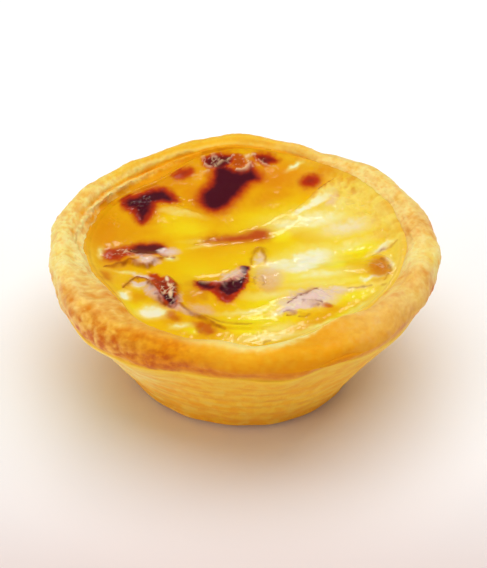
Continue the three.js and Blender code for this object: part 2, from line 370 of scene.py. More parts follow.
def wall_colours(crust):
    """Pale, orange and brown on the wall: golden patches over baked layers, and pale at the left, partly
    scuffs and partly painted light where the rim shades the wall.
    """
    layered = ramp(-0.2, 0.7, crust.streaks)
    golden = ramp(-0.3, 0.5, crust.mottle + 0.6 * crust.lumps)
    at_left = near(*LEFT_WALL, crust.around)
    # Pale at the left of the wall: partly scuffs, partly painted light where the rim shades the wall.
    scuffs_and_painted_light = near(*SCUFFS_AND_PAINTED_LIGHT_WALL, crust.around) * ramp(-0.7, 0.2, crust.mottle)
    scuffs_and_painted_light *= ramp(*SCUFFS_AND_PAINTED_LIGHT, crust.place)
    pale = (
        0.15 * ramp(0.1, 0.7, -crust.mottle - 0.3 * crust.streaks)
        + 1.4 * scuffs_and_painted_light
        + 0.4 * ramp(0, 0.5, -crust.streaks) * at_left
    )
    orange = (
        (0.28 + 0.14 * layered + 0.42 * golden) * (1 - 0.8 * scuffs_and_painted_light)
        + 0.4 * ramp(0.1, 0.6, crust.streaks) * at_left
    )
    brown = 0.1 * layered + 0.35 * ramp(*BROWNER_FOOT, crust.place)
    return np.array([pale, orange, brown]) * (1 - ramp(*WALL_ENDS, crust.place))


def rim_colours(crust):
    """Pale, orange and brown on the rim: a smooth orange band in front, browner towards its lower edge,
    pale flaky crust at the sides, with painted highlights on the crumbs' tops and painted shade in their
    hollows.
    """
    around, place = crust.around, crust.place
    flakiness = strength_round(FLAKY, around)
    browned = strength_round(BROWNED, around)
    lowness = 1 - ramp(*UPPER_RIM, place)
    right_front = near(*RIGHT_FRONT, around)
    # The flaky crust is paler on its crumbs' tops, a painted highlight.
    pale = (
        strength_round(PALE, around) * (0.8 + 0.4 * crust.lumps + 0.25 * crust.crumbs)
        + 0.3 * flakiness * ramp(0.2, 0.7, crust.crumbs)
        + 0.6 * right_front * ramp(0, 0.5, crust.mottle)
    )
    band = (1 - crust.flaky) * (0.6 + 0.4 * lowness + 0.2 * crust.blisters)
    orange = (
        band * (1 - 0.85 * crust.lip) * (1 - 0.45 * near(*LESS_ORANGE_RIM, around))
        + 0.62 * flakiness * ramp(-0.1, 0.9, crust.mottle + 0.3 * crust.crumbs) * (0.6 + 0.6 * lowness)
        + 0.5 * browned
        + 0.35 * near(*ORANGE_RIM, around) * (1 - crust.lip)
        + patches(RIM_ORANGE_PATCHES, around, place)
    )
    # Brown mottling, browner in the crumbs' hollows as painted shade.
    mottled_brown_and_painted_shade = ramp(-0.9, 0.9, 0.8 * crust.mottle - 0.6 * crust.crumbs) * (0.6 + 0.4 * lowness)
    brown = (
        1.2 * browned * mottled_brown_and_painted_shade * (1 - crust.lip)
        + 0.1 * flakiness * ramp(0.25, 0.9, crust.mottle + 0.5 * crust.crumbs)
        + 0.25 * right_front * ramp(0, 0.6, -crust.mottle) * (1 - crust.lip)
        + 0.9 * near(*FRONT, around) * lowness**2 * (0.8 + 0.4 * crust.mottle)
    )
    return np.array([pale, orange, brown]) * crust.on_rim


def slope_colours(crust):
    """Pale, orange and brown on the inner slope: a cream lip in front, partly a painted highlight, sprung
    leaves with painted light on their ridges and painted shade in their hollows, painted shade in the
    crumbs' hollows, a patch of painted light at the left, and an amber edge.
    """
    around, place = crust.around, crust.place
    by_custard = ramp(*BY_CUSTARD, place + 0.4 * crust.mottle)
    moist = (1 - strength_round(CRUSTED, around)) * (1 - 0.8 * near(*CLEAN_EDGE, around))
    moist *= 1 - 0.7 * crust.lip
    # Orange in the crumbs' hollows is painted shade.
    painted_hollow_shade = ramp(0, 0.5, -crust.crumbs) * strength_round(CRUMBLY, around)
    # The sprung leaves are painted pale on their ridges and orange in their hollows: painted light and
    # shade.
    pale = 0.8 * crust.lip + np.clip(2 * crust.leaves, 0, 0.5) + patches(PALE_AND_PAINTED_LIGHT_PATCHES, around, place)
    orange = (
        np.clip(-2 * crust.leaves, 0, 0.5)
        + 0.3 * painted_hollow_shade * ramp(*CRUMB_HOLLOWS, place)
        + 0.6 * by_custard * moist
        + 0.35 * crust.lip * ramp(*LOWER_SLOPE, place)
        + patches(ORANGE_PATCHES, around, place)
    )
    brown = 0.5 * near(*TOASTED_EDGE, around) * by_custard
    return np.array([pale, orange, brown])


def pastry_surface():
    """Points of the pastry from foot to custard as (rows, columns, 3), and its colour fields."""
    azimuth = np.arange(COLUMNS) * 360 / COLUMNS
    outline = outside_outline(azimuth)
    spans = len(SPAN_ROWS)
    places = [span + step / rows for span, rows in enumerate(SPAN_ROWS) for step in range(rows)] + [spans]
    section = np.array([spline(outline, place) for place in places])
    step = 1e-3
    ends = [(max(place - step, 0), min(place + step, spans)) for place in places]
    along = np.array([spline(outline, end) - spline(outline, start) for start, end in ends])
    along /= np.linalg.norm(along, axis=1, keepdims=True)
    outward = np.stack([along[:, 1], -along[:, 0]], 1)

    crust = survey_crust(azimuth, places, section)
    free = np.minimum(1, np.minimum(crust.place, spans - crust.place))
    section = section + outward * (crust_relief(crust) * free)[:, None]
    pale, orange, brown = wall_colours(crust) + rim_colours(crust) + slope_colours(crust)
    fields = {"pale": pale, "orange": orange, "brown": brown, "flaky": crust.flaky}
    return revolved(section, azimuth), fields


def revolved(section, azimuth):
    """Turns (rows, 2, columns) of radius and height into points."""
    angle = np.radians(azimuth)
    return np.stack([section[:, 0] * np.cos(angle), section[:, 0] * np.sin(angle), section[:, 1]], -1)


def lattice_faces(rows, columns):
    """Quads between rows of points that close round on themselves."""
    row, column = np.mgrid[0:rows - 1, 0:columns]
    beside = (column + 1) % columns
    this, above = row * columns, (row + 1) * columns
    corners = [this + column, this + beside, above + beside, above + column]
    return np.stack(corners, -1).reshape(-1, 4).tolist()


def fan_faces(ring, pole, outwards):
    """Triangles from a closed ring of point numbers to one pole."""
    pairs = zip(ring, np.roll(ring, -1))
    return [[int(b), int(a), pole] if outwards else [int(a), int(b), pole] for a, b in pairs]


def make_pastry():
    surface, fields = pastry_surface()
    azimuth = np.arange(COLUMNS) * 360 / COLUMNS
    shares = np.linspace(1, 0, INSIDE_ROWS)[1:]
    inside = revolved(np.array([inside_wall(azimuth, share) for share in shares]), azimuth)
    rows = np.concatenate([surface, inside])
    count = rows.shape[0] * COLUMNS
    points = np.concatenate([rows.reshape(-1, 3), [(0, 0, 0), (0, 0, FLOOR_THICKNESS)]])
    faces = lattice_faces(rows.shape[0], COLUMNS)
    faces += fan_faces(np.arange(COLUMNS), count, True)
    faces += fan_faces(np.arange(count - COLUMNS, count), count + 1, False)
    return make_mesh("pastry_crust", points, faces, fields)


# ---- The custard's skin ----

# Broad swells of the skin: middle, half-lengths, turn in degrees and rise.
SWELLS = [
    (-2, 21, 9, 6.5, 70, 1.0), (-19, 16.5, 7, 4.5, -10, 0.9), (-11, 27, 4.5, 2.5, 25, 0.6),
    (14, 23.5, 4, 3.5, 0, 0.5), (-1, 5, 8, 3, 8, 0.6), (-19, -0.5, 7.5, 3.5, -6, 1.1),
    (-15, -12, 7, 4, -50, 1.0), (-3.5, -10, 6, 4.5, 20, 1.2), (14, 10, 12, 6, 15, 0.8),
    (10, -5, 12, 5, 20, 0.9), (25, -5.5, 4.5, 3.5, 30, 0.7), (11, -15, 8, 3.5, 25, 0.8),
    (3, 13, 9, 4, 35, -0.6), (-9, -3, 7, 4, -30, -0.7), (20, 1.5, 9, 3, 10, -0.7),
]

# Folds: the line of the crest, the half-width of its left and right flanks, and its rise.
FOLDS = [
    ([(-26.9, -3.2), (-23.5, -2.7), (-22.3, -1.8), (-20, -2.8), (-18.4, -3), (-17, -1.3),
      (-15, 0.3)], 2.4, 0.4, 0.8),
    ([(-22.6, -9.6), (-20.8, -7.1), (-19.8, -6.8), (-17.9, -8.2), (-16.3, -12),
      (-15, -14.7)], 0.45, 1.5, 0.9),
    ([(-15, -5), (-13.4, -7.4), (-12.7, -11.5), (-12, -15.6)], 0.8, 0.8, 0.9),
    ([(-13.4, -15.4), (-9.7, -17.2), (-7.1, -18.6), (-4.9, -20.4), (-2, -21.2), (3, -21.3),
      (8, -20)], 1.8, 0.4, 0.6),
    ([(-8.6, -5.8), (-7, -7.4), (-5, -8.7), (-3.2, -8.4), (-1.6, -6.4), (-0.4, -3.4),
      (0.6, -1.2)], 1.4, 0.8, 0.8),
    ([(8.9, -14.2), (10, -13.5), (11.2, -12), (12.6, -11.3), (14.6, -9.6)], 0.35, 1.8, 0.7),
    ([(11.3, -14.6), (13, -14.1), (15.2, -14.3)], 0.3, 1, 0.4),
    ([(7, -18), (10, -17), (13, -18)], 0.8, 0.35, 0.35),
    ([(11, -1.5), (17, 1), (22, 2), (27, 3), (29.5, 4.6)], 1.8, 0.7, 0.5),
    ([(10.5, 15.6), (13.5, 18.6), (15.6, 21), (18.3, 23.2), (20.5, 25.4)], 0.4, 2.6, 1.0),
    ([(24.8, 0.6), (27, 0.2), (28.8, -3), (28.2, -6.5), (26.5, -7.6), (24, -7.6)], 0.6, 0.8, 0.6),
    ([(1.8, -0.8), (2.2, 2.3), (3.2, 3.7), (4.5, 3.2), (4.8, 0.5)], 0.4, 0.5, 0.4),
    ([(-16, 16.5), (-12, 15.2), (-9, 14.2), (-7.8, 12.5)], 0.9, 0.7, 0.4),
]

# Curls of dried skin: line, half-width and rise.
CURLS = [
    ([(-7.6, 29.4), (-7, 28.6), (-5.8, 28.5), (-5, 29.4), (-3.7, 30.2), (-2.5, 30.6),
      (-1.9, 31.6)], 0.26, 0.7),
    ([(-7.2, 30.7), (-6.3, 31.1), (-5.2, 30.9), (-4.6, 30.2)], 0.22, 0.6),
    ([(-3.2, 30.4), (-2.8, 29.6), (-2.3, 29)], 0.2, 0.5),
    ([(-8.6, 27), (-7.6, 27.3), (-6.5, 27.5)], 0.32, 0.5),
    ([(2.8, 31.7), (1.5, 31.4), (0.9, 30.6), (1.4, 29.4), (1, 28.2), (0, 27.6), (-1.4, 27.6)], 0.36, 0.9),
    ([(3.2, 30.7), (4.5, 29.3), (6.8, 28.8)], 0.26, 0.6),
    ([(-8.4, -6.5), (-6.4, -8), (-4.8, -7.9)], 0.24, 0.6),
    ([(-14.6, -6.2), (-13.8, -8.4), (-13.3, -10.2)], 0.3, 0.4),
]

# Burns with a shape of their own: closed outline, width of the halo outside it, how far in from the edge
# the char is complete, how toasted and how charred it is.
BURNS = [
    ([(-8.9, 20.8), (-8, 22.4), (-6.8, 23.8), (-6.2, 26), (-6, 28.8), (-3.2, 29.2), (-1.6, 28), (0.6, 28),
      (1.8, 29.8), (2.8, 28), (4.1, 25.2), (2.4, 24), (1, 22.4), (0, 20.4), (-1.4, 18.4), (-3, 16.4),
      (-5, 15.2), (-7.2, 15.8), (-8.8, 18)], 1.8, 1.8, 1, 1),
    ([(-24.4, 17.6), (-23.2, 19.4), (-21.5, 19.8), (-19.8, 20.8), (-18, 22), (-16, 22.3), (-14.6, 21.6),
      (-13.5, 19.9), (-12.9, 18.2), (-14.2, 17.4), (-16.7, 17), (-17.3, 15.6), (-17.9, 13.6), (-19, 11.6),
      (-20.2, 11), (-21.2, 12.4), (-22.2, 14.4), (-23.8, 15.4)], 1.1, 1.9, 1, 1),
    ([(-14.2, 25.2), (-13.4, 27), (-12, 27.8), (-10.2, 28), (-10.2, 26.6), (-12, 25)], 1.1, 2.4, 0.95, 0.5),
    ([(12, 24), (13, 25.6), (15, 25.7), (15.8, 24.4), (15, 22.8), (13, 22.6)], 1.4, 2.6, 1, 0.5),
    ([(-7, 6.6), (-3, 7.9), (1, 8.6), (2.6, 10.2), (4.6, 9.4), (4.9, 7), (2, 6.4),
      (-3, 6.2)], 2.2, 5, 0.9, 0.2),
    ([(-26.8, 0.6), (-26.4, 2.4), (-24.2, 3), (-21.8, 3.8), (-20, 5.2), (-17, 5.4), (-15.2, 4.8),
      (-16.2, 3.2), (-17.6, 1.9), (-19.5, 0.6), (-21.5, -0.6), (-24, -1.7),
      (-26.2, -1.4)], 1.3, 4, 0.95, 0.6),
    ([(-22.8, 1), (-20.8, 4.6), (-17, 5.4), (-15, 4.6), (-15.8, 1.6), (-19.4, -0.2)], 1.1, 1.1, 0.9, 0.9),
    ([(-18, -5.6), (-16.5, -5.4), (-14.9, -6.1), (-13.7, -6.8), (-12.9, -9.2), (-12.5, -12), (-12.2, -14.4),
      (-13, -15.9), (-15.4, -14.4), (-16.4, -12), (-17.2, -9.6)], 0.4, 2.6, 0.95, 0.6),
    ([(-15.8, -10.4), (-14, -11.4), (-12.8, -8), (-12.5, -12.5), (-12.4, -15.6), (-15, -14.2),
      (-16, -12)], 0.6, 0.9, 0.9, 1),
    ([(-14.1, -17.2), (-12.6, -17.6), (-12, -19), (-13.6, -18.8)], 0.9, 9, 0.6, 0),
    ([(-8.6, -19.8), (-6.8, -19.6), (-5.3, -21.6), (-6, -23), (-8.2, -22.2)], 1, 9, 0.75, 0),
    ([(-8.9, -5.9), (-7, -7), (-5, -8.3), (-3.2, -8), (-1.6, -6.4), (-0.6, -4.4), (-0.4, -2.4), (0.3, -1.3),
      (1.4, -1.8), (1.1, -4), (1.3, -6.8), (0.6, -9.4), (-0.8, -11.8), (-2.4, -13.6), (-4.2, -13.4),
      (-5.6, -11.2), (-6.8, -9.9), (-8.4, -8.8)], 0.5, 1.6, 1, 0.55),
    ([(-9.4, -5.8), (-7.6, -6.3), (-5.6, -8.4), (-4.6, -9.8), (-6, -10.2), (-8, -9.4)], 0.9, 1.1, 0.9, 1),
    ([(-4.8, -10), (-3.2, -8.4), (-1.4, -6.6), (-0.4, -5), (0.9, -6), (0.4, -9), (-1, -11.6),
      (-3, -12.2)], 0.4, 0.7, 1, 1),
    ([(-0.6, -2.4), (0.3, -1.3), (1.4, -1.8), (1.1, -3.6), (0.6, -5.4), (-0.2, -4.8)], 0.4, 0.5, 1, 1),
    ([(-8.6, -8.4), (-7, -9.6), (-6.4, -11.6), (-6.9, -13.2), (-7.8, -12.4),
      (-8.4, -10.4)], 0.8, 9, 0.3, 0.2),
    ([(15.2, -14.6), (16.6, -14.6), (16.9, -15.5), (15.5, -15.6)], 0.5, 9, 0.7, 0),
    ([(25.6, -0.8), (27.2, -0.8), (28.6, -4.4), (27.8, -6.6), (25.8, -6.6), (24.8, -4)], 1.8, 9, 0.6, 0),
    ([(3.6, -3.4), (6.6, -3.6), (7.2, -7), (5.6, -9.6), (3.8, -8)], 1.6, 9, 0.2, 0),
    ([(2.6, 31.6), (5.6, 31.4), (7.6, 30.2), (6.2, 29.4), (4, 29.2)], 0.8, 1, 1, 0.7),
    ([(-27.4, -5), (-26, -5.4), (-25.6, -7.2), (-26.8, -7.2)], 1, 9, 0.45, 0),
    ([(-7.6, 31.3), (-3, 31.8), (-1.8, 30.8), (-2.6, 28.6), (-5, 27.6), (-7.6, 28.8)], 0.9, 1.1, 1, 0.85),
    ([(-1.6, 31.4), (0.2, 31), (0.8, 29.4), (-0.4, 28.2), (-1.8, 28.8)], 0.6, 2, 0.8, 0.3),
]

# Spots where the skin is amber and lemon yellow, where it is pale as milk, partly a painted highlight,
# where a lilac painted sheen lies on it, and painted glints.
AMBER = [
    (-16, 24, 13, 6, 35, 0.9), (-10, 21, 3, 5, 0, 0.9), (-27, 8, 4.5, 8, 0, 0.9), (-22, 9, 6, 2.5, 0, 0.6),
    (6, 26, 9, 4.5, -5, 1), (6, 20.4, 6, 4, 30, 0.8), (17, 26.4, 4, 2, -10, 0.9),
    (12.8, 6.6, 3.6, 1.9, -12, 1), (-4, 12.5, 7, 2.5, 5, 0.5), (-20, -12.8, 1.8, 1.7, 0, 0.8),
    (-9.4, -12, 1.8, 3, 0, 0.7), (-7, -4.6, 3.5, 1, -8, 0.7), (12.8, -20, 4.4, 1.8, 24, 1),
    (16.8, -16.4, 1.8, 1.2, 0, 0.7), (22.4, -3, 3.4, 2.4, 10, 1), (26.6, -3.4, 2.2, 3, 10, 1),
    (4, -3.6, 2.4, 3, 0, 0.5), (28, 6, 3, 1.4, 12, 0.9), (31.5, 8, 3, 1.4, 60, 0.8),
    (26.6, 11.2, 1, 1.8, 0, 1), (22.8, 23.4, 1.8, 1.1, 15, 0.95), (28, 20.8, 3, 1, -5, 0.95),
    (25.6, 17, 2, 3, 20, 0.4), (-8, 15.5, 1.5, 1.5, 0, 0.5), (-26.4, -5.8, 1.8, 2, 0, 0.6),
    (5.2, -6.4, 2.2, 3.4, 0, 0.8), (-8, -15.8, 2.6, 1.4, -24, 0.5), (20.4, 9.8, 4.8, 1.8, 14, 0.35),
    (-24, 8, 5, 6, 0, 0.7),
]
LEMON = [
    (18, -1, 2.2, 3.2, 10, 1), (-10.5, 10.5, 4, 2.6, 0, 0.6), (-13, 13, 3, 1, 0, 0.4),
    (7.6, 7.6, 2.6, 3, 0, 0.9), (21.5, -12, 5, 2, 24, 0.9), (3, -18.3, 2.4, 1.6, 0, 1),
    (1.5, -22.4, 3, 1.2, 0, 0.9), (4.6, -14, 4.4, 3, 8, 0.8), (-9, -3, 4, 3, 0, 0.4),
    (10.9, -3.8, 0.8, 1.4, 0, 0.9), (-9, -22, 1.6, 1, 0, 0.8), (4, 14, 8, 3, 30, 0.5),
    (22, 3, 6, 2.6, 12, 0.95), (13, -5.6, 9, 2.4, 8, 0.8), (20, -7.6, 7, 2, 6, 0.7), (-8, 6, 6, 2, 10, 0.3),
    (16, 1, 14, 13, 10, 0.6), (4, -19.6, 9, 2.6, 2, 0.7), (-21, -16, 3, 3, 0, 0.5),
    (19, -19, 6, 1.6, 34, 0.6),
]
MILKY_AND_PAINTED_HIGHLIGHT = [
    (9, 12, 4, 2.4, 0, 0.8), (14.6, 12.4, 8, 3.4, 6, 0.8), (14.8, 17.8, 4.8, 1.1, 45, 0.95),
    (12.2, 15.6, 2.4, 1, 25, 1), (19.6, 16.4, 4.6, 3.6, 30, 0.6), (20.4, 9.8, 6, 2.8, 14, 0.75),
    (20.5, 4.4, 7, 1.4, 16, 0.6), (28, 15, 2.4, 4, 10, 0.4), (13.4, 0.6, 5.4, 3.2, 24, 1.05),
    (8, -1.8, 4.6, 3, 10, 0.9), (11.4, -2.4, 4.4, 2.4, 20, 1.1), (15, -5.2, 6, 2, 8, 0.75),
    (14, -7.8, 8, 1, 6, 0.55), (7, -10.8, 6, 1, 8, 0.6), (8.6, -16.2, 3.6, 0.8, 30, 1.05),
    (2, -16, 5, 0.7, 10, 0.7), (22, -9.4, 6, 0.9, 4, 0.6), (27.6, 2.8, 3, 0.8, 26, 1.05),
    (29, -3, 0.7, 2.8, 14, 0.85), (24.6, -7.2, 2.2, 0.6, 8, 1), (15, -21.8, 6, 0.9, 27, 0.6),
    (12.4, -13.4, 5, 2.6, 20, 1.1), (22.6, -17, 4.4, 1, 38, 0.6), (6.6, -24.2, 7.4, 1.1, 6, 0.65),
    (7, -21.6, 3.4, 1.2, 12, 0.6), (11.4, 28.4, 2, 0.6, 34, 0.95), (30.5, 13, 2, 5, 0, 0.7),
    (19.4, 21.4, 2.4, 1, 10, 0.4), (-11.3, -20.8, 1.8, 0.7, 15, 0.8), (-23, -12.2, 1.1, 1.5, -25, 1.05),
    (-17, -17.2, 2.5, 1.7, 8, 1.2), (-20, -9, 1.8, 0.8, 5, 0.9), (-12.4, 14.4, 3.8, 0.6, -10, 0.55),
    (-14, 0.4, 1.4, 0.8, 15, 0.8), (-21.4, -5.2, 2.4, 0.5, -10, 0.6), (-27.5, 1, 0.6, 1.6, 0, 0.7),
    (-4.8, 7.2, 6, 0.6, 8, 0.2), (-8, 4.6, 2.4, 0.5, 10, 0.35),
]
PAINTED_SHEEN = [
    (-19.3, -5.9, 1.7, 0.7, -12, 0.95), (-19.9, -8.8, 1.6, 0.7, 5, 0.9), (-17.3, -11.6, 0.9, 2.6, 30, 0.85),
    (-18.4, -1.8, 2.2, 0.8, 14, 0.95), (-14.6, 2.6, 1.8, 1.3, 15, 0.9), (-19.4, -0.4, 2.4, 0.9, 0, 0.45),
    (-2.4, -5.2, 3.4, 1.5, 50, 0.9), (-4.6, -8, 1.4, 0.5, -20, 0.6), (-12, -13.5, 0.6, 2, -10, 0.5),
    (13, -12.6, 5, 2.6, 22, 1.1), (11, -15.8, 4.2, 1.2, 14, 1.1), (17, -10.4, 3.2, 1.4, 10, 0.8),
    (18, 18.8, 0.9, 1.8, -15, 0.4), (3.3, 1, 0.9, 1.8, 0, 0.7), (5.4, -5.6, 2.4, 3.8, 0, 0.42),
    (-11, -16.4, 3, 0.7, -18, 0.55), (-7.6, -16, 2.4, 1.2, -24, 0.35), (-22.6, 20.7, 1.6, 0.6, 12, 0.5),
    (20.6, 9.6, 4.6, 2, 14, 0.25), (16.4, -12.6, 2, 2, 0, 0.6),
]
PAINTED_GLINTS = [
    (-14.5, -6.9, 0.35, 1, 10, 1), (-13.9, -9.2, 0.35, 1.1, 20, 1), (-13.7, -12, 0.4, 0.9, 10, 1),
    (-0.8, -6.5, 0.5, 0.25, 0, 0.7), (0.5, -4.3, 0.35, 0.2, 0, 0.7),
]

# Thin brown lines where the skin has split or folded over: line, half-width and strength.
BROWN_LINES = [
    ([(-26.9, -3.2), (-23.5, -2.7), (-22.3, -1.8), (-21.1, -2), (-20, -2.8), (-18.4, -3), (-17.6, -2.5),
      (-17, -1.3), (-16, -0.4), (-15, 0.3)], 0.24, 0.85),
    ([(-16, 0.8), (-15.2, 1.3), (-14.5, 0.9)], 0.3, 0.9), ([(-13.9, 0.8), (-13.1, 1.3)], 0.22, 0.8),
    ([(-22.8, -9.5), (-21.8, -8.2), (-20.6, -7), (-19.4, -6.9), (-18.2, -7.7), (-17.7, -9.1), (-17, -10.4),
      (-16.2, -12.6), (-15.6, -14.2), (-13, -15.9)], 0.42, 1),
    ([(-14.9, -6.1), (-13.7, -6.8), (-12.9, -9.2), (-12.5, -12), (-12.2, -14.4), (-12.8, -16)], 0.26, 0.75),
    ([(-13, -15.9), (-11.8, -15.2), (-9.7, -17.2), (-8.5, -17.9), (-7.1, -18.6), (-6.1, -19.4),
      (-4.9, -20.6), (-3.2, -21.5)], 0.24, 0.7),
    ([(-9, -17.4), (-6, -18.4), (-4, -19.6), (-1, -20.2), (2, -20.4)], 0.22, 0.45),
    ([(8.8, -14), (9.8, -13.3), (11, -12), (12, -11.4), (12.8, -10.6), (14.4, -9.3)], 0.42, 1.3),
    ([(11.5, -14.6), (12.5, -14), (14, -14), (15.2, -14.2)], 0.32, 1.1),
    ([(13.1, -15.7), (13.6, -15.2), (14.8, -15.1)], 0.32, 1),
    ([(7.8, -17.2), (9, -17), (9.9, -17.4), (8.6, -18.2)], 0.2, 0.8),
    ([(10.6, -18.4), (12, -18.3), (12.9, -17.7)], 0.16, 0.55),
    ([(1.8, -0.8), (1.9, 1.6), (2.8, 3.4), (3.9, 3.6), (4.5, 1.6), (4.6, -0.8)], 0.24, 0.5),
    ([(2.6, -5.4), (2.2, -7), (2.7, -8.4)], 0.16, 0.4), ([(3.8, -5.2), (4.4, -7), (3.9, -8.6)], 0.16, 0.4),
    ([(15.4, 20.6), (16.6, 22.2), (18.4, 23.4)], 0.16, 0.6),
    ([(27, -0.6), (28.2, -2.8), (28.8, -4.7), (28.3, -6.5), (27.4, -8)], 0.22, 0.65),
    ([(25.2, 0.4), (27, 2.1), (29, 3), (30.8, 4)], 0.16, 0.6),
    ([(20, -9.2), (22.5, -9.6), (25, -9.3)], 0.14, 0.5),
    ([(27, -9.2), (27.4, -9.9), (27.9, -9.4)], 0.14, 0.5),
    ([(4, -26.6), (4.6, -25.8), (5.4, -25.4)], 0.14, 0.4), ([(-5, 8.6), (-8, 6), (-9.5, 5.4)], 0.2, 0.25),
]

# Golden creases in the dried skin at the right: line, half-width and strength.
GOLD_LINES = [
    ([(13.6, 18.2), (15.2, 20.4), (16.8, 22.2), (18.4, 23.4)], 0.8, 1),
    ([(21, 22.8), (22.4, 23.4), (24, 22.8)], 0.9, 0.9),
    ([(20.6, 25.6), (19.4, 23), (19.8, 20.6)], 0.5, 0.7),
    ([(24.6, 21.4), (26.6, 20.8), (28.6, 21.2), (30, 19.8)], 0.7, 1),
    ([(21, 16.6), (22.2, 19), (24.4, 19.6)], 0.8, 0.6), ([(25, 15.4), (26.4, 17.4), (28.4, 18)], 0.7, 0.6),
    ([(25.4, 10.4), (26.6, 11.6), (27, 13)], 0.9, 1), ([(22, 13.2), (23.8, 12.8), (25.4, 13.4)], 0.4, 0.7),
    ([(26, 7), (28.4, 8), (30.6, 9.6)], 1.1, 0.9), ([(28.6, 13.4), (30, 15.4), (30.2, 17.4)], 0.4, 0.7),
    ([(20, -4.4), (22.6, -5.6), (25, -5.2)], 1, 0.8), ([(15.6, -8.2), (19, -8.4), (22.4, -7.8)], 0.3, 0.5),
]

# Where thin pale squiggles are scattered, partly dried skin and partly painted glints on the toasted spots:
# middle, half-lengths, turn and strength.
SQUIGGLE_AND_PAINTED_GLINT_PATCHES = [
    (-24, 0.8, 3, 1.5, 20, 0.9), (-14.3, -9.5, 1.6, 4.4, 12, 1), (-21.4, 18.4, 3, 1.2, 20, 0.2),
    (-4.2, 30, 4.6, 1.6, 8, 0.8), (2.2, 30.2, 2, 1.6, 0, 0.8), (-1.4, -5.6, 1.8, 3.4, 30, 0.8),
    (27, -4, 2, 2.6, 15, 0.7), (-22.6, 12.6, 2, 2.4, 0, 0.7), (14, -13.6, 4, 2.4, 18, 0.5),
    (-7.4, -12, 1, 3, 0, 0.3),
]

# Where the skin is crumpled: middle, half-lengths, turn and strength.
RUMPLED = [
    (24, 18, 8, 4.5, -45, 1), (-15, -10, 2.2, 5, 25, 0.7), (14, -13, 4, 2.5, 15, 0.5),
    (-1, -8, 5, 3, 50, 0.5), (-4, 30, 4, 1.5, 0, 1),
]

# Clusters of small bubbles: middle, spread and how many.
BUBBLE_FIELDS = [
    ((-25.5, 12), 2.2, 14), ((-11, 16), 3, 10), ((-22.5, 0.8), 2.6, 16), ((3.4, -7), 2.5, 8),
    ((25.5, -3), 2, 12), ((16, -10), 3, 6), ((-13, -16), 1.6, 5), ((-19, 18), 3.5, 10), ((-14, -8), 2, 8),
]


def spots(x, y, table, soft):
    """How strongly a pigment shows at each point, from soft-edged ellipses."""
    total = np.zeros_like(x)
    for middle_x, middle_y, along, across, turn, strength in table:
        a, b = turned(x - middle_x, y - middle_y, turn)
        outward = ramp(1 - soft, 1 + soft, np.hypot(a / along, b / across))
        total = np.maximum(total, strength * (1 - outward))
    return total


def offsets(x, y, path):
    """For each straight piece of a path: its ends, how much of it is passed, and the way on to (x, y)."""
    for start, end in zip(path, path[1:]):
        run = end - start
        passed = np.clip(((x - start[0]) * run[0] + (y - start[1]) * run[1]) / (run @ run), 0, 1)
        yield start, end, passed, x - start[0] - passed * run[0], y - start[1] - passed * run[1]


def nearest(x, y, line):
    """Distance to a smooth line, positive on its left, and its taper there, from 1 to 0 at its ends."""
    knots = [np.array(point, float) for point in line]
    path = [spline(knots, place / LINE_STEPS) for place in range(LINE_STEPS * (len(knots) - 1) + 1)]
    best = np.full(x.shape, np.inf)
    place = np.zeros_like(x)
    for index, (start, end, passed, off_x, off_y) in enumerate(offsets(x, y, path)):
        run = end - start
        side = np.where(run[0] * off_y - run[1] * off_x >= 0, 1, -1)
        distance = np.hypot(off_x, off_y)
        closer = distance < np.abs(best)
        best = np.where(closer, side * distance, best)
        place = np.where(closer, (index + passed) / (len(path) - 1), place)
    return best, np.sqrt(np.clip(4 * place * (1 - place), 0, 1))


def strokes(x, y, table, widened=1):
    """Soft lines that taper at both ends."""
    total = np.zeros_like(x)
    for line, width, strength in table:
        distance, taper = nearest(x, y, line)
        total = np.maximum(total, strength * bell(distance, widened * width * (0.3 + 0.7 * taper)))
    return total


def fold_heights(x, y):
    total = np.zeros_like(x)
    for line, left, right, rise in FOLDS:
        distance, taper = nearest(x, y, line)
        total += rise * taper * bell(distance, np.where(distance > 0, left, right))
    return total


def bubble_heights(x, y):
    """Small burst and whole bubbles, in clusters, the same on every run."""
    random = np.random.default_rng(7)
    total = np.zeros_like(x)
    for (middle_x, middle_y), spread, count in BUBBLE_FIELDS:
        for _ in range(count):
            bubble_x, bubble_y = np.array([middle_x, middle_y]) + random.normal(0, spread / 2, 2)
            radius = random.uniform(0.3, 0.75)
            distance = np.hypot(x - bubble_x, y - bubble_y)
            total += 0.14 * radius * bell(distance - radius, 0.4 * radius)
    return total


def depth_inside(x, y, outline):
    """Distance to a smooth closed outline, positive inside it."""
    knots = [np.array(point, float) for point in outline]
    loop = knots[-2:] + knots + knots[:3]
    steps = range(2 * OUTLINE_STEPS, OUTLINE_STEPS * (len(knots) + 2) + 1)
    path = [spline(loop, place / OUTLINE_STEPS) for place in steps]
    distance = np.full(x.shape, np.inf)
    inside = np.zeros(x.shape, bool)
    for start, end, _, off_x, off_y in offsets(x, y, path):
        run = end - start
        distance = np.minimum(distance, np.hypot(off_x, off_y))
        if run[1]:
            crosses = (start[1] > y) != (end[1] > y)
            inside ^= crosses & (x < start[0] + (y - start[1]) * run[0] / run[1])
    return np.where(inside, distance, -distance)


def burn_fields(x, y, roughness):
    """How toasted, charred and amber each point is, from the table of burns."""
    toasted, scorched, halo = (np.zeros_like(x) for _ in range(3))
    for outline, reach, core, toast, char in BURNS:
        depth = depth_inside(x, y, outline) + roughness
        toasted = np.maximum(toasted, toast * ramp(-reach, 0.5 * reach, depth))
        scorched = np.maximum(scorched, char * ramp(-0.1, core, depth))
        halo = np.maximum(halo, toast * ramp(-3 * reach, 0, depth))
    return toasted, scorched, halo


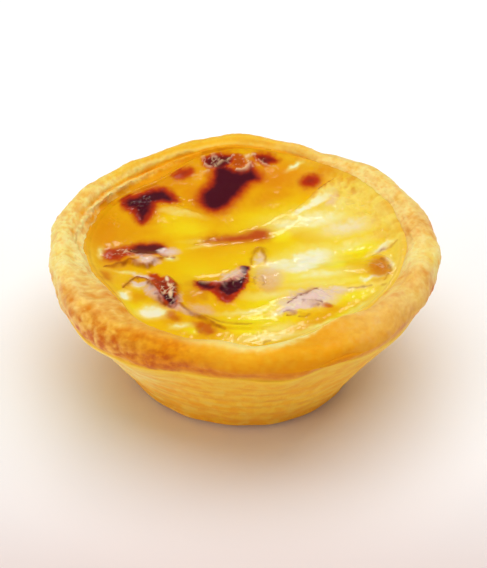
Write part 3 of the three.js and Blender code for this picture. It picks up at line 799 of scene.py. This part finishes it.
def skin_grain(x, y):
    """Uneven values over the skin, from slow drifts to fine grain, and thin ridges of two sizes."""
    points = np.stack([x, y, 0 * x], -1)
    uneven = SimpleNamespace(**{name: grain(points, *settings) for name, settings in SKIN_GRAIN.items()})
    uneven.wrinkle = 1 - 2 * np.abs(uneven.wrinkle)
    uneven.thread = 1 - np.abs(uneven.thread)
    return uneven


def split_lines(x, y, uneven):
    """Brown lines where the skin has split, broken here and there, and the toasted skin beside them."""
    x, y = x + 0.25 * uneven.fine, y - 0.25 * uneven.fine
    whole = 0.35 + 0.65 * ramp(-0.5, 0.15, uneven.swirl + 0.6 * uneven.fine)
    widened = 1.8 + 0.9 * uneven.drift + 0.5 * uneven.tight
    creased = strokes(x, y, BROWN_LINES, widened) * (0.7 + 0.3 * uneven.tight) * whole
    return creased, 0.5 * strokes(x, y, BROWN_LINES, 2.6)


def dried_flakes_and_painted_glints(x, y, uneven, toasted):
    """Curls of dried skin that stand up, and thin pale squiggles on the toasted spots, partly painted
    glints.
    """
    curl_x, curl_y = x + 0.25 * uneven.fine + 0.15 * uneven.tight, y - 0.25 * uneven.fine
    curled = strokes(curl_x, curl_y, CURLS, 1.1 + 0.5 * uneven.fine)
    curled *= 0.2 + 0.8 * ramp(-0.4, 0.1, uneven.fine + uneven.tight)
    squiggles_and_painted_glints = spots(x, y, SQUIGGLE_AND_PAINTED_GLINT_PATCHES, 0.5) * ramp(0.86, 0.97, uneven.thread)
    squiggles_and_painted_glints *= ramp(0.3, 0.8, toasted) * ramp(-0.1, 0.3, uneven.swirl + 0.5 * uneven.fine)
    return curled, squiggles_and_painted_glints


def swell_heights(x, y):
    total = np.zeros_like(x)
    for middle_x, middle_y, along, across, turn, rise in SWELLS:
        a, b = turned(x - middle_x, y - middle_y, turn)
        total += rise * np.exp(-((a / along) ** 2) - (b / across) ** 2)
    return total


def skin(x, y):
    """Height of the custard's skin and its colour fields at points (x, y)."""
    azimuth = np.degrees(np.arctan2(y, x))
    share = np.hypot(x, y) / edge_radius(azimuth)
    uneven = skin_grain(x, y)
    drift, swirl, fine, tight = uneven.drift, uneven.swirl, uneven.fine, uneven.tight

    toasted, scorched, halo = burn_fields(x, y, 0.35 * fine + 0.25 * drift)
    creased, beside_creases = split_lines(x, y, uneven)
    toasted = np.maximum(toasted, beside_creases)
    curled, squiggles_and_painted_glints = dried_flakes_and_painted_glints(x, y, uneven, toasted)
    # Pale flakes: curls of dried skin, painted glints, and squiggles that are partly painted glints.
    flakes_and_painted_glints = np.maximum.reduce([0.8 * curled, spots(x, y, PAINTED_GLINTS, 0.4), 0.8 * squiggles_and_painted_glints])

    # Pigments, painted sheen and painted highlights have ragged or soft edges, drawn by moving each point a
    # little before it is looked up.
    ragged_x = x + 0.7 * drift + 0.5 * fine + 0.25 * tight
    ragged_y = y + 0.7 * swirl - 0.5 * fine - 0.25 * tight
    soft_x = x + 0.8 * drift + 0.25 * fine
    soft_y = y + 0.8 * swirl - 0.25 * fine
    # A lilac painted sheen on the dark skin, and skin pale as milk that is partly a painted highlight.
    painted_sheen = spots(ragged_x, ragged_y, PAINTED_SHEEN, 0.6) * (0.95 + 0.35 * fine + 0.3 * tight)
    milky_and_painted_highlight = spots(soft_x, soft_y, MILKY_AND_PAINTED_HIGHLIGHT, 0.9) * (0.97 + 0.12 * fine)
    lemon = spots(soft_x, soft_y, LEMON, 0.9)

    # Against the pastry, most of all at the right, the skin is dry, crumpled and blotched with amber. Amber
    # in the wrinkles' hollows is painted shade, and the crust paler on their tops is painted light.
    dry = strength_round(CRUSTED, azimuth)
    crusted = dry * ramp(0.74, 0.97, share + 0.06 * drift + 0.03 * fine)
    rumpled = np.maximum(spots(x, y, RUMPLED, 0.5), 0.8 * crusted)
    blotches = dry * ramp(0.6, 0.8, share) * ramp(0.05, 0.5, swirl + 0.4 * drift + 0.2 * fine)
    amber = np.maximum.reduce([
        spots(ragged_x, ragged_y, AMBER, 0.8),
        0.8 * halo,
        rumpled * ramp(0.2, -0.5, uneven.wrinkle),
        0.9 * blotches,
        strokes(ragged_x, ragged_y, GOLD_LINES),
    ])
    crusted *= (0.35 + 0.65 * ramp(-0.4, 0.5, uneven.wrinkle)) * (0.85 + 0.4 * fine + 0.2 * tight)
    crusted *= 1 - 0.7 * amber

    tilt = CUSTARD_TILT * share * np.sin(np.radians(azimuth))
    level = CUSTARD_HEIGHT - CUSTARD_SAG * (1 - share**2) + tilt
    climb = bumps(EDGE_BUMPS, azimuth, 3) * share**5
    relief = (
        swell_heights(x, y)
        + fold_heights(x, y)
        + bubble_heights(x, y)
        + 0.5 * curled
        + 0.12 * squiggles_and_painted_glints
        - 0.2 * creased
        + rumpled * (0.45 * uneven.wrinkle + 0.2 * fine)
        - 0.1 * scorched
        + 0.08 * drift
        + 0.02 * fine
    )
    fields = {
        "amber": amber, "lemon": lemon, "milky_and_painted_highlight": milky_and_painted_highlight, "crusted": crusted, "toasted": toasted,
        "scorched": scorched, "painted_sheen": painted_sheen, "creased": creased, "flakes_and_painted_glints": flakes_and_painted_glints,
    }
    return level + climb + relief * (1 - share**16), fields


def disc_points():
    """Azimuth and share of the radius of each point of a grid of squares stretched into a disc."""
    u, v = np.meshgrid(np.linspace(-1, 1, SKIN_CELLS + 1), np.linspace(-1, 1, SKIN_CELLS + 1))
    x = (u * np.sqrt(1 - v**2 / 2)).ravel()
    y = (v * np.sqrt(1 - u**2 / 2)).ravel()
    return np.degrees(np.arctan2(y, x)), np.hypot(x, y)


def colour_edge(fields, azimuth, share, climbed, ragged):
    """Turns the skin's edge cream beside the cream lip and amber elsewhere, less where it is dry, and amber
    in the crease against the slope as painted shade.
    """
    at_edge = ramp(0.93, 0.985, share)
    cream = pale_lip_and_painted_highlight(azimuth)
    in_crease = ramp(0.2, 0.6, climbed)
    dry = strength_round(CRUSTED, azimuth)
    # In the crease against the slope the edge takes amber rather than cream: painted shade.
    amber_edge = at_edge * (1 - 0.7 * dry) * (1 - cream * (1 - 0.35 * in_crease)) * (0.75 + 0.3 * ragged)
    cream_edge = ramp(0.9, 0.97, share) * cream * (0.6 + 0.3 * ragged) * (1 - 0.5 * in_crease)
    fields["amber"] = np.maximum(fields["amber"] * (1 - 0.7 * at_edge * cream), amber_edge)
    for name in ("lemon", "milky_and_painted_highlight", "painted_sheen", "creased"):
        fields[name] *= 1 - 0.8 * at_edge
    fields["milky_and_painted_highlight"] = np.maximum(fields["milky_and_painted_highlight"], cream_edge)
    for name in ("toasted", "scorched"):
        fields[name] *= 1 - ramp(0.1, 0.5, climbed)


def custard_top(azimuth, share):
    """Points of the skin, which climbs the pastry's slope a little and sinks into it, and their fields."""
    radius = edge_radius(azimuth) * np.minimum(share / SKIN_FLAT_SHARE, 1)
    direction = np.array([np.cos(np.radians(azimuth)), np.sin(np.radians(azimuth))])
    height, fields = skin(*(direction * radius))

    outline = outside_outline(azimuth)
    slope = outline[-2] - outline[-1]
    slope /= np.hypot(*slope)
    climbed = np.clip((share - SKIN_FLAT_SHARE) / (1 - SKIN_FLAT_SHARE), 0, 1)
    ragged = grain(np.stack([*(direction * (radius + climbed)), 0 * radius], -1), *EDGE_GRAIN)
    unevenness = 0.1 + 0.5 * np.clip(ragged, -0.6, 0.6)
    lift = unevenness * climbed * (1 - climbed) - EDGE_SINK * climbed**3
    radius = radius + EDGE_CLIMB * climbed * slope[0] - lift * slope[1]
    height = height + EDGE_CLIMB * climbed * slope[1] + lift * slope[0]

    # The corner between skin and slope is rounded.
    to_edge = edge_radius(azimuth) * (1 - np.minimum(share / SKIN_FLAT_SHARE, 1))
    from_corner = to_edge + EDGE_CLIMB * climbed
    dry = strength_round(CRUSTED, azimuth)
    rounding = CORNER_ROUNDING * (1 + dry) * slope[1] * bell(from_corner, CORNER_REACH)
    radius = radius - rounding * slope[1]
    height = height + rounding * (1 + slope[0])

    colour_edge(fields, azimuth, share, climbed, ragged)
    return np.stack([*(direction * radius), height], -1), fields


def make_custard():
    """The skin on top, then the side and the bottom, which reach a little into the pastry."""
    azimuth, share = disc_points()
    top, fields = custard_top(azimuth, share)

    across = SKIN_CELLS + 1
    number = np.arange(across * across).reshape(across, across)
    corners = [number[:-1, :-1], number[:-1, 1:], number[1:, 1:], number[1:, :-1]]
    faces = np.stack(corners, -1).reshape(-1, 4).tolist()
    ring = np.concatenate([number[0, :-1], number[:-1, -1], number[-1, :0:-1], number[:0:-1, 0]])

    shares = np.linspace(1, 0, INSIDE_ROWS)
    walls = np.array([inside_wall(azimuth[ring], share) for share in shares])
    walls += np.array([SIDE_OVERLAP, -SIDE_OVERLAP])[:, None]
    walls = revolved(walls, azimuth[ring]).reshape(-1, 3)
    wall_rows = np.arange(len(top), len(top) + len(walls)).reshape(len(shares), -1)
    rows = np.concatenate([[ring], wall_rows])
    for upper, lower in zip(rows, rows[1:]):
        faces += np.stack([upper, lower, np.roll(lower, -1), np.roll(upper, -1)], -1).tolist()
    points = np.concatenate([top, walls, [(0, 0, FLOOR_THICKNESS)]])
    faces += fan_faces(rows[-1], len(points) - 1, True)
    return make_mesh("custard_filling", points, faces, fields)


# ---- Blender objects ----


def new_object(name, data):
    made = bpy.data.objects.new(name, data)
    bpy.context.collection.objects.link(made)
    return made


def make_mesh(name, points, faces, fields):
    """A smooth mesh whose first points carry the fields; the hidden ones after them carry 0."""
    mesh = bpy.data.meshes.new(name)
    mesh.from_pydata((points * MM).tolist(), [], faces)
    for field_name, values in fields.items():
        carried = np.zeros(len(points), np.float32)
        carried[:values.size] = np.clip(values.ravel(), 0, 1)
        mesh.attributes.new(field_name, "FLOAT", "POINT").data.foreach_set("value", carried)
    mesh.shade_smooth()
    return new_object(name, mesh)


def linear(red, green, blue):
    """A colour given as it looks on screen, from 0 to 255, as the renderer's linear values."""
    channels = np.array([red, green, blue]) / 255
    low = channels / 12.92
    high = ((channels + 0.055) / 1.055) ** 2.4
    return (*np.where(channels <= 0.04045, low, high).tolist(), 1)


def set_inputs(node, settings):
    for name, value in settings.items():
        node.inputs[name].default_value = value


def field(tree, name):
    made = tree.nodes.new("ShaderNodeAttribute")
    made.attribute_name = name
    return made.outputs["Fac"]


def stain(tree, under, colour, strength):
    """Lays a colour over another by a strength from 0 to 1."""
    mix = tree.nodes.new("ShaderNodeMix")
    mix.data_type = "RGBA"
    tree.links.new(strength, mix.inputs["Factor"])
    if isinstance(under, tuple):
        mix.inputs["A"].default_value = under
    else:
        tree.links.new(under, mix.inputs["A"])
    mix.inputs["B"].default_value = colour
    return mix.outputs["Result"]


def multiplied(tree, first, second):
    made = tree.nodes.new("ShaderNodeMath")
    made.operation = "MULTIPLY"
    made.use_clamp = True
    tree.links.new(first, made.inputs[0])
    tree.links.new(second, made.inputs[1])
    return made.outputs[0]


def noise_texture(tree, scale, detail, roughness):
    """Noise fixed to the object, with features about 1 / scale metres across."""
    place = tree.nodes.new("ShaderNodeTexCoord")
    made = tree.nodes.new("ShaderNodeTexNoise")
    set_inputs(made, {"Scale": scale, "Detail": detail, "Roughness": roughness})
    tree.links.new(place.outputs["Object"], made.inputs["Vector"])
    return made.outputs["Fac"]


def spread(tree, value, low, high):
    """0 where the value is low, 1 where it is high, and smooth between them."""
    made = tree.nodes.new("ShaderNodeMapRange")
    made.interpolation_type = "SMOOTHSTEP"
    set_inputs(made, {"From Min": low, "From Max": high})
    tree.links.new(value, made.inputs["Value"])
    return made.outputs["Result"]


def new_material(name):
    material = bpy.data.materials.new(name)
    material.use_nodes = True
    return material, material.node_tree, material.node_tree.nodes["Principled BSDF"]


def bump(tree, shader, height, distance, strength):
    made = tree.nodes.new("ShaderNodeBump")
    set_inputs(made, {"Strength": strength, "Distance": distance})
    tree.links.new(height, made.inputs["Height"])
    tree.links.new(made.outputs["Normal"], shader.inputs["Normal"])


def lay_stains(tree, shader, colours, strengths):
    """Lays colours over the first of them, each by a strength given here or by the field of its name."""
    (_, ground), *stains = colours.items()
    colour = linear(*ground)
    for name, pigment in stains:
        strength = strengths[name] if name in strengths else field(tree, name)
        colour = stain(tree, colour, linear(*pigment), strength)
    tree.links.new(colour, shader.inputs["Base Color"])


# Colours as they look on screen, from 0 to 255.
# The pastry's pale, orange and brown fields carry, besides the crust's own colours, some painted light and
# shade.
PASTRY_COLOURS = {
    "dough": (254, 210, 56), "pale": (255, 242, 160), "orange": (246, 164, 14), "brown": (208, 98, 8),
    "flaky": (236, 160, 40),
}
# The custard's milk-pale and near-white colours are partly painted highlights, its lilac colour is a
# painted sheen, and its pale flakes are partly painted glints.
CUSTARD_COLOURS = {
    "egg": (246, 192, 4), "amber": (232, 146, 2), "lemon": (255, 232, 24), "milky_and_painted_highlight": (255, 236, 130),
    "thick_milky": (255, 250, 216), "crusted": (255, 224, 108), "toasted": (194, 52, 6),
    "scorched": (76, 14, 28), "painted_sheen": (240, 208, 192), "creased": (142, 64, 14),
    "flakes_and_painted_glints": (246, 210, 166),
}

# Noise in the materials: features per metre, detail and roughness.
DAPPLES = (420, 4, 0.6)
SPECKLES = (1900, 3, 0.65)
CRUMB = (1500, 3, 0.65)
RIPPLES = (700, 2, 0.5)

# Light soaks into crumb and custard by 1 to 2 mm, red deepest.
PASTRY_FINISH = {
    "Roughness": 0.45, "Specular IOR Level": 0.2, "Subsurface Weight": 0.25,
    "Subsurface Radius": (1, 0.55, 0.2), "Subsurface Scale": 0.0015,
}
CUSTARD_FINISH = {
    "Roughness": 0.4, "Specular IOR Level": 0.03, "Subsurface Weight": 0.3,
    "Subsurface Radius": (1, 0.6, 0.15), "Subsurface Scale": 0.002,
    "Coat Weight": 1.0, "Coat IOR": 1.33, "Coat Roughness": 0.12,
}


def pastry_material():
    """Golden dough with dappled brown crust, speckled where it is flaky, and a fine crumb."""
    material, tree, shader = new_material("baked_puff_pastry")
    dapples = spread(tree, noise_texture(tree, *DAPPLES), 0.05, 0.6)
    speckles = spread(tree, noise_texture(tree, *SPECKLES), 0.5, 0.95)
    lay_stains(tree, shader, PASTRY_COLOURS, {
        "brown": multiplied(tree, field(tree, "brown"), dapples),
        "flaky": multiplied(tree, field(tree, "flaky"), speckles),
    })
    set_inputs(shader, PASTRY_FINISH)
    bump(tree, shader, noise_texture(tree, *CRUMB), 0.15 * MM, 0.5)
    return material


def custard_material():
    """Stained egg yellow with painted highlights, sheen and glints, and faint ripples, under a thin wet
    coat.
    """
    material, tree, shader = new_material("baked_egg_custard")
    # Where the milk-pale field is strongest the skin turns near white, partly a painted highlight.
    thick = spread(tree, field(tree, "milky_and_painted_highlight"), 0.45, 1.15)
    lay_stains(tree, shader, CUSTARD_COLOURS, {"thick_milky": thick})
    set_inputs(shader, CUSTARD_FINISH)
    bump(tree, shader, noise_texture(tree, *RIPPLES), 0.06 * MM, 0.6)
    return material


def place(thing, material, node_name, slot_name):
    thing.data.materials.append(material)
    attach(thing, "root")
    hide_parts(node_name)


# ---- Studio ----

CAMERA_ELEVATION = 37
CAMERA_DISTANCE = 0.5
CAMERA_TARGET = Vector((0, 0, 0.014))
CAMERA_LENS = 160.2
CAMERA_SHIFT = (0.0025, 0.0338)

# Lamps: name, azimuth and elevation in degrees, distance, width and height in metres, and radiance. Only
# the window's panes show in the gloss, and the softboxes fill the shade.
PANES = [
    ("window_pane", 186, 33, 0.8, 0.1, 0.06, 7),
    ("upper_window_pane", 172, 62, 0.8, 0.06, 0.06, 4),
]
SOFTBOXES = [
    ("overhead_softbox", 150, 83, 0.9, 1.1, 1.1, 2.45),
    ("left_softbox", 288, 12, 1.0, 0.9, 0.4, 3.3),
    ("right_softbox", 75, 14, 1.0, 0.9, 0.4, 1.2),
    ("front_softbox", 0, 6, 1.0, 1.2, 0.2, 2.3),
]
WORLD_STRENGTH = 0.08

# The floor: half its side in metres, and its colours at the back and in front.
FLOOR_HALF = 1.5
FLOOR_BACK = (252, 252, 252)
FLOOR_FRONT = (230, 206, 198)
FLOOR_FINISH = {"Emission Strength": 0.14, "Roughness": 0.8, "Specular IOR Level": 0.1}


def toward(azimuth, elevation):
    """Direction to a point in the studio: azimuth 0 is the camera's side, counter-clockwise from above."""
    a, e = math.radians(azimuth), math.radians(elevation)
    return Vector((math.cos(e) * math.sin(a), -math.cos(e) * math.cos(a), math.sin(e)))


def make_camera():
    camera = new_object("camera", bpy.data.cameras.new("camera"))
    camera.location = CAMERA_TARGET + CAMERA_DISTANCE * toward(0, CAMERA_ELEVATION)
    camera.rotation_euler = (CAMERA_TARGET - camera.location).to_track_quat("-Z", "Y").to_euler()
    camera.data.lens = CAMERA_LENS
    camera.data.shift_x, camera.data.shift_y = CAMERA_SHIFT
    camera.data.clip_start = 0.01
    bpy.context.scene.camera = camera


def lamp(name, azimuth, elevation, distance, width, height, radiance):
    """A rectangular lamp that faces the origin, with the same brightness whatever its size."""
    light = bpy.data.lights.new(name, "AREA")
    light.shape = "RECTANGLE"
    light.size = width
    light.size_y = height
    light.energy = radiance * math.pi * width * height
    made = new_object(name, light)
    made.location = toward(azimuth, elevation) * distance
    made.rotation_euler = (-made.location).to_track_quat("-Z", "Y").to_euler()
    return made


def make_floor():
    """A plain floor, white and faintly glowing at the back, and slightly pink in front."""
    material, tree, shader = new_material("pale_floor")
    place = tree.nodes.new("ShaderNodeTexCoord")
    parts = tree.nodes.new("ShaderNodeSeparateXYZ")
    tree.links.new(place.outputs["Object"], parts.inputs["Vector"])
    nearness = spread(tree, parts.outputs["Y"], -0.01, -0.1)
    pale = stain(tree, linear(*FLOOR_BACK), linear(*FLOOR_FRONT), nearness)
    glow = stain(tree, (0, 0, 0, 1), (1, 1, 1, 1), spread(tree, parts.outputs["Y"], -0.02, 0.12))
    tree.links.new(pale, shader.inputs["Base Color"])
    tree.links.new(glow, shader.inputs["Emission Color"])
    set_inputs(shader, FLOOR_FINISH)
    corners = [(x * FLOOR_HALF, y * FLOOR_HALF, 0) for x, y in ((-1, -1), (1, -1), (1, 1), (-1, 1))]
    mesh = bpy.data.meshes.new("floor")
    mesh.from_pydata(corners, [], [(0, 1, 2, 3)])
    mesh.materials.append(material)
    new_object("floor", mesh)


def make_studio():
    make_camera()
    make_floor()
    for pane in PANES:
        lamp(*pane)
    for softbox in SOFTBOXES:
        lamp(*softbox).visible_glossy = False
    world = bpy.data.worlds.new("studio")
    world.use_nodes = True
    set_inputs(world.node_tree.nodes["Background"], {"Color": (1, 1, 1, 1), "Strength": WORLD_STRENGTH})
    bpy.context.scene.world = world
    bpy.context.scene.view_settings.view_transform = "Standard"


place(make_pastry(), pastry_material(), "pastry_cup", "baked_pastry")
place(make_custard(), custard_material(), "custard", "baked_custard")
make_studio()
